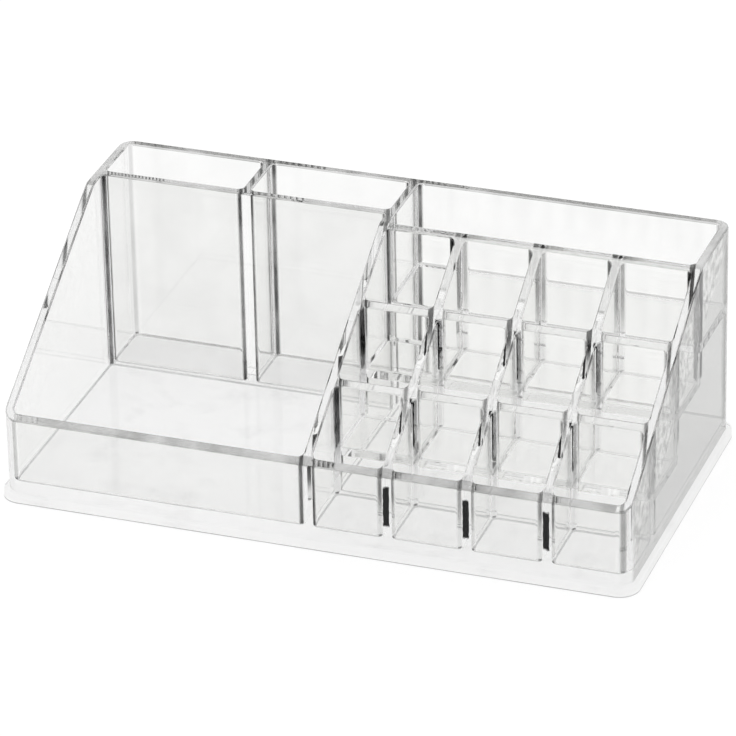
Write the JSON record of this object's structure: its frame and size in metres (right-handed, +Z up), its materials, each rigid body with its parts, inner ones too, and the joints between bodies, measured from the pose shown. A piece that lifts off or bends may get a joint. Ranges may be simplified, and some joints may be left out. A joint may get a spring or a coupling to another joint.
{
  "type": "vanity organizer",
  "caption": "Clear free-standing vanity organizer with an open tray, tall wells, a raised shelf and stepped rows of lipstick cells behind a low front wall.",
  "frame": {"origin": "middle of the base plate's underside, on the surface that the organizer stands on", "axes": "+X to the right along the front, +Y from the low front wall towards the back wall, +Z up"},
  "size_m": [0.22, 0.12, 0.079],
  "materials": {
    "clear_plastic": "clear, polished"
  },
  "bodies": {
    "root": {"base_plate": "clear_plastic", "left_side_wall": "clear_plastic", "right_side_wall": "clear_plastic", "front_wall": "clear_plastic", "back_wall": "clear_plastic", "floor_plate": "clear_plastic", "middle_row_floor": "clear_plastic", "upper_row_floor": "clear_plastic", "shelf_floor": "clear_plastic", "centre_divider": "clear_plastic", "well_front_wall": "clear_plastic", "well_divider": "clear_plastic", "lower_row_wall": "clear_plastic", "upper_row_wall": "clear_plastic", "shelf_front_wall": "clear_plastic", "front_row_divider_1": "clear_plastic", "front_row_divider_2": "clear_plastic", "front_row_divider_3": "clear_plastic", "middle_row_divider_1": "clear_plastic", "middle_row_divider_2": "clear_plastic", "middle_row_divider_3": "clear_plastic", "upper_row_divider_1": "clear_plastic", "upper_row_divider_2": "clear_plastic", "upper_row_divider_3": "clear_plastic"}
  },
  "joints": []
}
